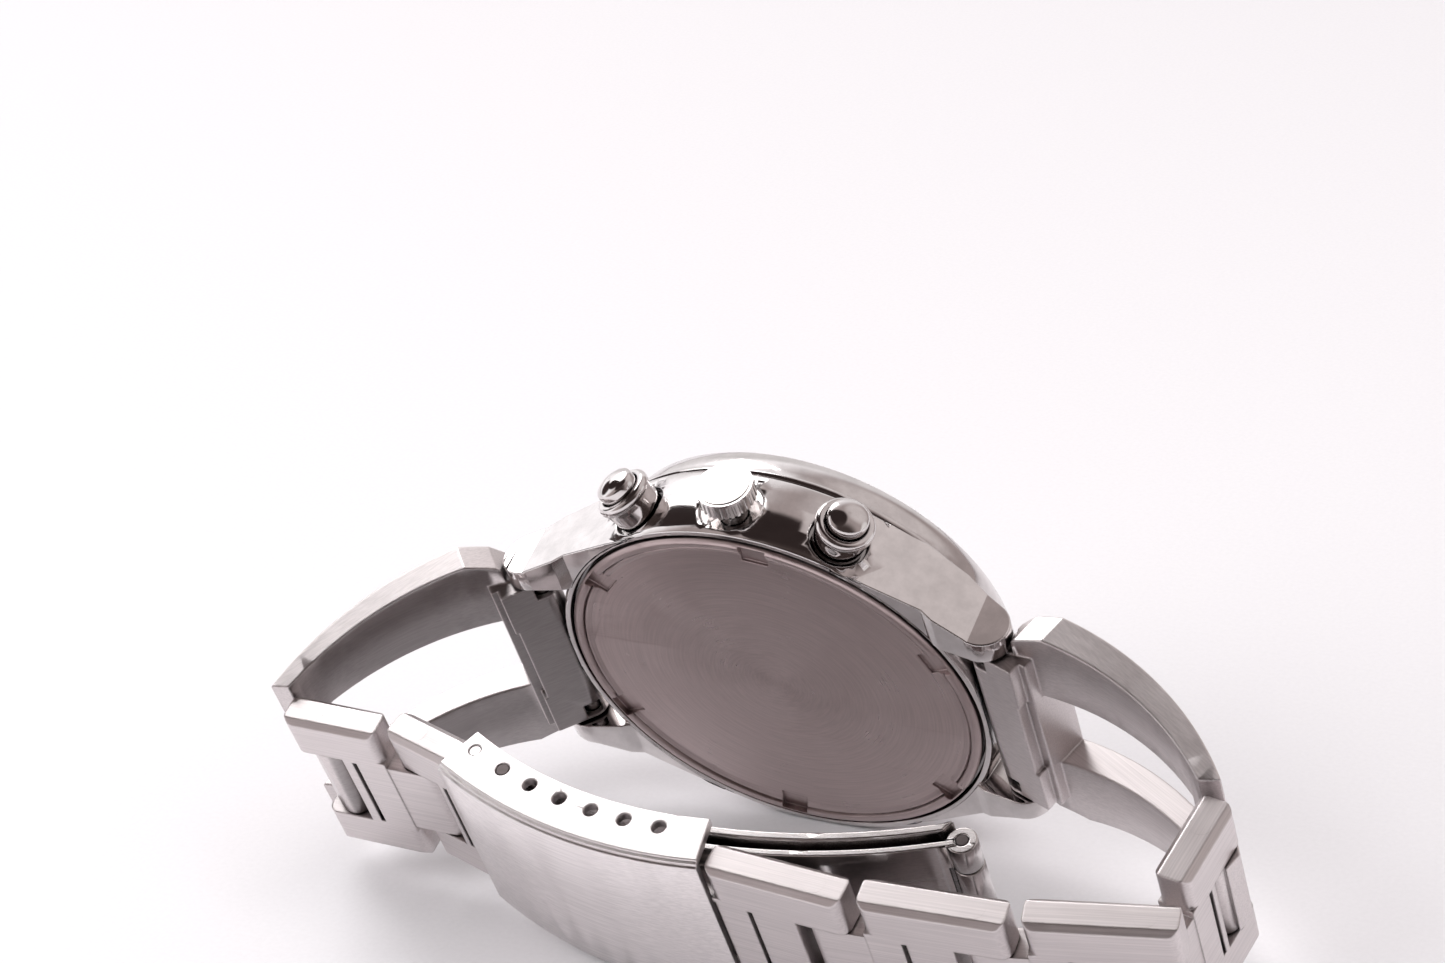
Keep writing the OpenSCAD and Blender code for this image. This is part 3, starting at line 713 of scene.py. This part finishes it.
def new_piece(name: str, mesh: bmesh.types.BMesh, finish: Finish) -> bpy.types.Object:
    """Makes a piece of a finished mesh.

    Args:
        name: the piece's name.
        mesh: its mesh, which is freed.
        finish: its finish.

    Returns:
        The piece.
    """
    bmesh.ops.recalc_face_normals(mesh, faces=mesh.faces)
    data = bpy.data.meshes.new(name)
    mesh.to_mesh(data)
    mesh.free()
    data.materials.append(finish.material())
    piece = bpy.data.objects.new(name, data)
    bpy.context.scene.collection.objects.link(piece)
    LOG.info("made %s with %s", name, finish.name)
    return piece


@dataclass
class Case:
    """Middle case, bezel, crystal, case back and the parts of the crown and the pushers.

    Fields: polished gives each polished node its finish and the width of its soft edges in
    millimetres, turned names the turned parts, and back_width is the case back's soft edge.
    """

    polished: Dict[str, Tuple[Steel, float]] = field(default_factory=lambda: {
        "case_middle": (SHELL, 0.12), "bezel": (POLISHED, 0.12), "collar_2": (POLISHED, 0.12),
        "collar_4": (POLISHED, 0.12), "crown": (LIT_CROWN, 0.0), "button_2": (POLISHED, 0.15),
        "button_4": (POLISHED, 0.15), "rehaut": (POLISHED, 0.0)})
    turned: Sequence[str] = ("crown_tube", "stem", "shaft_2", "shaft_4", "spring_bar_12",
                             "spring_bar_6")
    gaskets: Sequence[str] = ("crystal_gasket", "back_gasket")
    back_width: float = 0.08

    def build(self) -> None:
        """Dresses every part of the case."""
        for node, (finish, width) in self.polished.items():
            dress(node, finish, width)
        for node in self.turned:
            dress(node, TURNED)
        dress("case_back", BACK, self.back_width)
        dress("crystal", CRYSTAL)
        for node in self.gaskets:
            dress(node, GASKET)


class Relief:
    """Collects thin raised forms on the dial and makes one piece of them.

    Dial places are given in millimetres as (to 12 o'clock, to 9 o'clock), and heights above
    the case back's plate.
    """

    SAME_PLACE = 1e-9
    CAPITAL_TO_SIZE = 1.4
    LETTER_STEPS = 3
    HOOP_STEPS = 96

    def __init__(self, name: str) -> None:
        """Starts an empty piece.

        Args:
            name: the piece's name.
        """
        self.name = name
        self.mesh = bmesh.new()
        self.frame = AXES.matrix()

    def corner(self, up: float, left: float, height: float) -> bmesh.types.BMVert:
        """Adds one corner and returns it."""
        return self.mesh.verts.new(self.frame @ (Vector((up, height, -left)) * MM))

    def prism(self, outline: Sequence[DialPlace], low: float, high: float) -> None:
        """Adds a flat form of any outline.

        Args:
            outline: its corners, counter-clockwise from in front of the dial when read to
                9 o'clock.
            low: height of its foot.
            high: height of its top.
        """
        foot = [self.corner(up, left, low) for up, left in outline]
        top = [self.corner(up, left, high) for up, left in outline]
        self.mesh.faces.new(top)
        self.mesh.faces.new(foot[::-1])
        for here, (a, b) in enumerate(zip(foot, foot[1:] + foot[:1])):
            self.mesh.faces.new((a, b, top[(here + 1) % len(top)], top[here]))

    def bar(self, centre: DialPlace, half_up: float, half_left: float, low: float,
            high: float) -> None:
        """Adds a flat rectangle.

        Args:
            centre: its middle.
            half_up: half its size to 12 o'clock.
            half_left: half its size to 9 o'clock.
            low: height of its foot.
            high: height of its top.
        """
        up, left = centre
        self.prism([(up - half_up, left - half_left), (up + half_up, left - half_left),
                    (up + half_up, left + half_left), (up - half_up, left + half_left)],
                   low, high)

    def tick(self, centre: DialPlace, turn: float, reach: Tuple[float, float], width: float,
             low: float, high: float) -> None:
        """Adds one radial stroke about a centre.

        Args:
            centre: the centre.
            turn: the stroke's angle from 12 o'clock, in radians.
            reach: its inner and its outer radius.
            width: its width.
            low: height of its foot.
            high: height of its top.
        """
        along = Vector((math.cos(turn), math.sin(turn)))
        side = Vector((-along.y, along.x)) * width / 2
        middle = Vector(centre)
        inner, outer = middle + along * reach[0], middle + along * reach[1]
        ends = (inner - side, outer - side, outer + side, inner + side)
        self.prism([tuple(end) for end in ends], low, high)

    def hoop(self, centre: DialPlace, inner: float, outer: float, low: float,
             high: float) -> None:
        """Adds a ring with a rounded top about a centre.

        Args:
            centre: the centre.
            inner: the ring's inner radius.
            outer: its outer radius.
            low: height of its foot.
            high: height of its top.
        """
        middle = (inner + outer) / 2
        half = (outer - inner) / 2
        section = [(outer, low), (outer, high - half * 0.5), (middle + half * 0.5, high),
                   (middle - half * 0.5, high), (inner, high - half * 0.5), (inner, low)]
        rows = []
        for step in range(self.HOOP_STEPS):
            turn = 2 * math.pi * step / self.HOOP_STEPS
            rows.append([self.corner(centre[0] + radius * math.cos(turn),
                                     centre[1] + radius * math.sin(turn), height)
                         for radius, height in section])
        for row, following in zip(rows, rows[1:] + rows[:1]):
            for here in range(len(section)):
                after = (here + 1) % len(section)
                self.mesh.faces.new((row[here], following[here], following[after], row[after]))

    def number(self, text: str, centre: DialPlace, size: float, low: float,
               thick: float) -> None:
        """Adds an upright number.

        Args:
            text: its digits.
            centre: the middle of the number.
            size: the height of a capital in millimetres, about.
            low: height of its foot.
            thick: its thickness.
        """
        curve = bpy.data.curves.new("number", "FONT")
        curve.body = text
        curve.size = size * self.CAPITAL_TO_SIZE
        curve.align_x = "CENTER"
        curve.align_y = "CENTER"
        curve.extrude = thick / 2
        curve.resolution_u = self.LETTER_STEPS
        letter = bpy.data.objects.new("number", curve)
        shape = letter.to_mesh()
        corners = [self.corner(centre[0] + point.co.y, centre[1] - point.co.x,
                               low + thick / 2 + point.co.z) for point in shape.vertices]
        for face in shape.polygons:
            self.mesh.faces.new([corners[index] for index in face.vertices])
        letter.to_mesh_clear()
        bpy.data.objects.remove(letter)
        bpy.data.curves.remove(curve)

    def place(self, finish: Finish, slot: str, body: str = "case") -> None:
        """Turns the collected forms into a piece that rides on a body.

        Args:
            finish: the piece's finish.
            slot: the record's material slot; not used.
            body: the body that it rides on.
        """
        bmesh.ops.remove_doubles(self.mesh, verts=self.mesh.verts, dist=self.SAME_PLACE)
        piece = new_piece(self.name, self.mesh, finish)
        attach(piece, body)


@dataclass(frozen=True)
class Subdial:
    """One small dial: its centre and its numbers, clockwise from its top."""

    centre: DialPlace
    numbers: Tuple[str, ...]


@dataclass
class DialSide:
    """Dial with its printing, markers, hands and the movement behind them.

    Fields: finishes gives each CAD node its finish. The rest are millimetres, with heights
    above the case back's plate and each reach as inner and outer radius. The window is the
    middle of the date's frame, whose bars are window_bar to each side of their middle, and
    window_up and window_side give a bar's distance from the window and half its length.
    """

    finishes: Dict[str, Coating] = field(default_factory=lambda: {
        "hour_hand": HANDS, "minute_hand": HANDS, "hour_markers": HANDS, "small_hand_12": BLACK,
        "small_hand_6": BLACK, "small_hand_9": BLACK, "chrono_hand": RED, "dial": DIAL,
        "date_ring": CALENDAR, "movement": GILT, "setting_collar": GILT,
        "movement_holder": HOLDER, "battery": CELL})
    face_height: float = 5.75
    sunk_height: float = 5.63
    print_thick: float = 0.012
    bare_hour: int = 9
    minute_reach: Tuple[float, float] = (14.12, 14.5)
    five_reach: Tuple[float, float] = (14.0, 14.5)
    minute_width: float = 0.08
    five_width: float = 0.16
    subdial_at: float = 7.2
    subdial_r: float = 3.4
    scale_steps: int = 24
    long_reach: Tuple[float, float] = (2.75, 3.22)
    short_reach: Tuple[float, float] = (2.98, 3.22)
    scale_width: float = 0.07
    number_r: float = 2.05
    number_size: float = 0.72
    ring_inset: float = 0.02
    ring_width: float = 0.16
    ring_foot: float = 0.05
    ring_rise: float = 0.07
    window: DialPlace = (0.0, -11.3)
    window_bar: float = 0.07
    window_up: Tuple[float, float] = (1.07, 1.24)
    window_side: Tuple[float, float] = (1.17, 1.0)
    window_rise: float = 0.06
    date_text: str = "8"
    date_size: float = 1.25
    date_height: float = 5.28
    inlay_height: float = 6.02
    inlay_thick: float = 0.03
    inlay_width: float = 0.34
    inlay_outer: float = 14.15
    quarter_inner: float = 12.75
    hour_inner: float = 11.75

    def build(self) -> None:
        """Dresses the dial side and what lies behind it."""
        for node, finish in self.finishes.items():
            dress(node, finish)
        self.minute_track()
        self.small_scales()
        self.date()
        self.rings()
        self.inlays()

    def subdials(self) -> List[Subdial]:
        """Lists the three small dials.

        Returns:
            The small dials at 12, 6 and 9 o'clock.
        """
        at = self.subdial_at
        return [Subdial((at, 0.0), ("60", "20", "40")), Subdial((-at, 0.0), ("60", "20", "40")),
                Subdial((0.0, at), ("24", "8", "16"))]

    def minute_track(self) -> None:
        """Makes the minute strokes, with a long one only at the hour that has no marker."""
        track = Relief("minute_track")
        low = self.face_height
        for minute in range(60):
            five = minute % 5 == 0
            if five and minute != self.bare_hour * 5:
                continue
            reach = self.five_reach if five else self.minute_reach
            width = self.five_width if five else self.minute_width
            track.tick((0.0, 0.0), math.radians(6 * minute), reach, width, low,
                       low + self.print_thick)
        track.place(BLACK, "small_hands")

    def small_scales(self) -> None:
        """Makes the strokes and the numbers of the small dials."""
        scales = Relief("small_dial_scales")
        low = self.sunk_height
        for subdial in self.subdials():
            for step in range(self.scale_steps):
                reach = self.long_reach if step % 2 == 0 else self.short_reach
                scales.tick(subdial.centre, 2 * math.pi * step / self.scale_steps, reach,
                            self.scale_width, low, low + self.print_thick)
            for spot, text in enumerate(subdial.numbers):
                turn = 2 * math.pi * spot / len(subdial.numbers)
                place = (subdial.centre[0] + self.number_r * math.cos(turn),
                         subdial.centre[1] - self.number_r * math.sin(turn))
                scales.number(text, place, self.number_size, low, self.print_thick)
        scales.place(BLACK, "small_hands")

    def date(self) -> None:
        """Makes the number in the date window."""
        date = Relief("date_number")
        date.number(self.date_text, self.window, self.date_size, self.date_height,
                    self.print_thick)
        date.place(BLACK, "date_ring")

    def rings(self) -> None:
        """Makes the bright rings round the small dials and the frame of the date window."""
        bright = Relief("dial_rings")
        low = self.face_height
        for subdial in self.subdials():
            bright.hoop(subdial.centre, self.subdial_r - self.ring_inset,
                        self.subdial_r + self.ring_width, low - self.ring_foot,
                        low + self.ring_rise)
        up, left = self.window
        top = low + self.window_rise
        for side in (-1, 1):
            bright.bar((up + side * self.window_up[0], left), self.window_bar,
                       self.window_up[1], low, top)
            bright.bar((up, left + side * self.window_side[0]), self.window_side[1],
                       self.window_bar, low, top)
        bright.place(HANDS, "markers")

    def inlays(self) -> None:
        """Makes the pale inlays on the hour markers."""
        inlay = Relief("marker_inlays")
        for hour in range(12):
            if hour == self.bare_hour:
                continue
            inner = self.quarter_inner if hour % 3 == 0 else self.hour_inner
            inlay.tick((0.0, 0.0), math.radians(30 * hour), (inner, self.inlay_outer),
                       self.inlay_width, self.inlay_height, self.inlay_height + self.inlay_thick)
        inlay.place(GLOW, "dial")


@dataclass(frozen=True)
class ShadedInnerFace:
    """The inner face of an end link, darkened with painted shade: its watch-axes direction and share of the tone
    that it keeps.
    """

    direction: Direction
    shade_keep: float


@dataclass
class Bracelet:
    """End links, links and their pins.

    Fields: links gives each link the direction of its brushing in degrees, inner the end
    links' inner faces that get painted shade, end_width their soft edges, and link_half half a
    link's width. The plugs over the pins have radius plug_r, reach plug_depth into the link
    and stand plug_proud out of it. loop_link is the link whose holes the loop pin's plugs
    close. Sizes are in millimetres.
    """

    links: Dict[str, float] = field(default_factory=lambda: {
        "end_link_12": -30.0, "end_link_6": 45.0, "link_1": -100.0, "link_2": 189.0,
        "link_3": 182.0, "link_4": 176.0, "link_5": -1.0, "link_6": -15.5})
    # Painted shade on the end links' inner faces: their direction and the share of tone they keep.
    inner: Dict[str, ShadedInnerFace] = field(default_factory=lambda: {
        "end_link_12": ShadedInnerFace((-0.358, -0.934, 0.0), 0.95),
        "end_link_6": ShadedInnerFace((0.643, -0.766, 0.0), 0.55)})
    pins: Sequence[str] = ("pin_1", "pin_2", "pin_3", "pin_4", "pin_5", "pin_6", "loop_pin")
    loop_link: str = "link_6"
    blade_neighbour: str = "link_4"
    end_width: float = 0.12
    link_half: float = 8.2
    plug_r: float = 0.9
    plug_depth: float = 0.15
    plug_proud: float = 0.008
    plug_steps: int = 48

    def build(self) -> None:
        """Dresses the links, each brushed along its own length, with painted shade on the end links' inner faces,
        and their pins.
        """
        for node, turn in self.links.items():
            face = self.inner.get(node)
            if face:
                dress(node, brushed(turn, LINK_SOFTEN, face.direction, face.shade_keep), self.end_width)
            else:
                dress(node, brushed(turn))
        for node in self.pins:
            dress(node, TURNED)
        for node in self.pins:
            self.plugs(node)

    def plugs(self, pin: str) -> None:
        """Makes the flush steel plugs over both ends of a link pin.

        Args:
            pin: the pin's node.
        """
        low, high = (Vector(corner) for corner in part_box(pin))
        mesh = bmesh.new()
        for side in (-1, 1):
            self.plug(mesh, (low + high) / 2, side)
        body = BODY_OF[self.loop_link if pin == "loop_pin" else pin]
        link = next((name for name in self.links if BODY_OF[name] == body), self.blade_neighbour)
        piece = new_piece(f"{pin}_plugs", mesh, brushed(self.links[link], 0.0))
        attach(piece, body)

    def plug(self, mesh: bmesh.types.BMesh, middle: Vector, side: int) -> None:
        """Adds one plug to a mesh.

        Args:
            mesh: the mesh to add to.
            middle: the middle of the pin, in metres.
            side: 1 for the crown's side, -1 for the other.
        """
        turn = AXES.z.to_track_quat("Z", "X").to_matrix().to_4x4()
        rims = []
        for reach in (self.link_half - self.plug_depth, self.link_half + self.plug_proud):
            place = Matrix.Translation(middle + AXES.z * side * reach * MM)
            rims.append(bmesh.ops.create_circle(mesh, segments=self.plug_steps,
                                                radius=self.plug_r * MM,
                                                matrix=place @ turn)["verts"])
        foot, top = rims
        mesh.faces.new(top)
        for here, (a, b) in enumerate(zip(foot, foot[1:] + foot[:1])):
            mesh.faces.new((a, b, top[(here + 1) % len(top)], top[here]))


@dataclass
class Clasp:
    """Cover, blades and pins of the folding clasp.

    Fields: parts gives each node its finish and the width of its soft edges in millimetres.
    """

    # The adjust bar and fold pin take a near-black tone that is painted shade.
    parts: Dict[str, Tuple[Steel, float]] = field(default_factory=lambda: {
        "clasp_cover": (LIT_COVER, 0.08), "blade_outer": (BLADE, 0.12), "blade_inner": (BLADE, 0.12),
        "adjust_bar": (SHADE_PAINTED_STEEL, 0.0), "fold_pin": (SHADE_PAINTED_STEEL, 0.0), "hinge_studs": (LIT_COVER, 0.0)})

    def build(self) -> None:
        """Dresses the clasp."""
        for node, (finish, width) in self.parts.items():
            dress(node, finish, width)


@dataclass(frozen=True)
class Patch:
    """A patch of the room: its direction, the cosines where it starts and is full, its tone."""

    direction: Direction
    start: float
    full: float
    tone: Colour

    def share(self, graph: Graph, place: Socket) -> Socket:
        """Returns the patch's share, from 0 to 1, as a ray comes near its direction."""
        near = graph.facing(place, Vector(self.direction).normalized())
        return graph.spread(near, self.start, self.full, 0.0, 1.0, smooth=True)


@dataclass(frozen=True)
class Softbox:
    """A large square light aimed at the watch.

    Fields: place and size are in metres, power in watts, and mirrored says whether the light
    leaves its image in the steel.
    """

    name: str
    place: Tuple[float, float, float]
    size: float
    power: float
    mirrored: bool = True
    aim: Tuple[float, float, float] = (0.0, 0.0, 0.015)

    def build(self) -> None:
        """Makes the light."""
        data = bpy.data.lights.new(self.name, "AREA")
        data.size = self.size
        data.energy = self.power
        light = bpy.data.objects.new(self.name, data)
        bpy.context.scene.collection.objects.link(light)
        light.location = self.place
        toward = Vector(self.aim) - Vector(self.place)
        light.rotation_euler = toward.to_track_quat("-Z", "Y").to_euler()
        light.visible_glossy = self.mirrored


@dataclass
class Studio:
    """Pale table, soft lights and the camera.

    Fields: eye is the camera's place and right, down, ahead its directions, in the watch axes,
    in millimetres; view_px is the focal length in pixels of a frame frame_px wide, and sensor
    the camera's sensor in millimetres. near and table_half are in metres. room_tone is the
    room on the viewer's side, window the bright side, and patches what else the steel
    reflects, the later over the earlier.
    """

    eye: Tuple[float, float, float] = (114.571, -150.305, 210.562)
    right: Direction = (0.8957, 0.3732, -0.2419)
    down: Direction = (0.1242, -0.7320, -0.6699)
    ahead: Direction = (-0.4271, 0.5700, -0.7020)
    view_px: float = 3393.7
    frame_px: float = 1445.0
    sensor: float = 36.0
    near: float = 0.01
    table_half: float = 6.0
    room_tone: Colour = (0.42, 0.36, 0.35)
    window: Patch = Patch((-0.85, 0.50, -0.05), 0.20, 0.70, (1.30, 1.28, 1.30))
    patches: Sequence[Patch] = (
        Patch((0.50, 0.50, 0.70), 0.80, 0.95, (0.72, 0.66, 0.65)),
        Patch((-0.05, -0.33, 0.94), 0.84, 0.90, (0.035, 0.025, 0.024)),
        Patch((-0.25, -0.25, 0.93), 0.90, 0.928, (0.035, 0.025, 0.024)),
        Patch((-0.93, 0.12, 0.35), 0.945, 0.975, (0.05, 0.035, 0.034)),
        Patch((-0.35, 0.93, 0.10), 0.82, 0.95, (0.85, 0.82, 0.82)),
        Patch((0.43, -0.79, 0.25), 0.62, 0.90, (0.06, 0.045, 0.042)),
        Patch((0.85, 0.30, 0.10), 0.93, 0.97, (0.9, 0.87, 0.86)),
        Patch((-0.62, 0.38, 0.69), 0.92, 0.955, (1.6, 1.55, 1.55)),
        Patch((-0.72, 0.02, 0.68), 0.962, 0.973, (0.035, 0.025, 0.024)),
    )
    softboxes: Sequence[Softbox] = (
        Softbox("key", (-0.56, 0.42, 0.75), 0.50, 2.9),
        Softbox("front", (-0.50, -0.60, 0.55), 0.60, 5.0, mirrored=False),
        Softbox("fill", (0.45, -0.25, 0.90), 0.90, 4.5, mirrored=False),
    )

    def build(self) -> None:
        """Makes the camera, the table, the room and the lights."""
        bpy.context.scene.view_settings.view_transform = "Standard"
        self.camera()
        self.table()
        self.room()
        for softbox in self.softboxes:
            softbox.build()

    def camera(self) -> None:
        """Makes the camera and points it."""
        data = bpy.data.cameras.new("camera")
        data.sensor_width = self.sensor
        data.lens = self.sensor * self.view_px / self.frame_px
        data.clip_start = self.near
        camera = bpy.data.objects.new("camera", data)
        bpy.context.scene.collection.objects.link(camera)
        turn = Matrix((Vector(self.right), -Vector(self.down), -Vector(self.ahead))).transposed()
        turn = turn.to_quaternion().to_matrix().to_4x4()
        camera.matrix_world = AXES.matrix() @ Matrix.Translation(Vector(self.eye) * MM) @ turn
        bpy.context.scene.camera = camera

    def table(self) -> None:
        """Makes the pale table top."""
        mesh = bpy.data.meshes.new("table")
        half = self.table_half
        corners = [(-half, -half, 0.0), (half, -half, 0.0), (half, half, 0.0), (-half, half, 0.0)]
        mesh.from_pydata(corners, [], [(0, 1, 2, 3)])
        table = bpy.data.objects.new("table", mesh)
        bpy.context.scene.collection.objects.link(table)
        table.data.materials.append(TABLE.material())

    def room(self) -> None:
        """Makes the room: a bright window side, a warm grey room, and its patches."""
        world = bpy.data.worlds.new("room")
        bpy.context.scene.world = world
        world.use_nodes = True
        graph = Graph(world.node_tree)
        place = graph.place("Generated")
        tone: Union[Socket, Colour] = self.room_tone
        for patch in (self.window, *self.patches):
            tone = graph.tint(patch.share(graph, place), tone, patch.tone)
        back = graph.add("ShaderNodeBackground", Color=tone, Strength=1.0)
        out = graph.add("ShaderNodeOutputWorld")
        graph.feed(out.inputs["Surface"], back.outputs[0])


def main() -> None:
    """Builds the studio and every sub-assembly."""
    logging.basicConfig(level=logging.INFO, format="%(name)s: %(message)s")
    for assembly in (Studio(), Case(), DialSide(), Bracelet(), Clasp()):
        assembly.build()
        LOG.info("built %s", type(assembly).__name__)


if __name__ == "__main__":
    main()
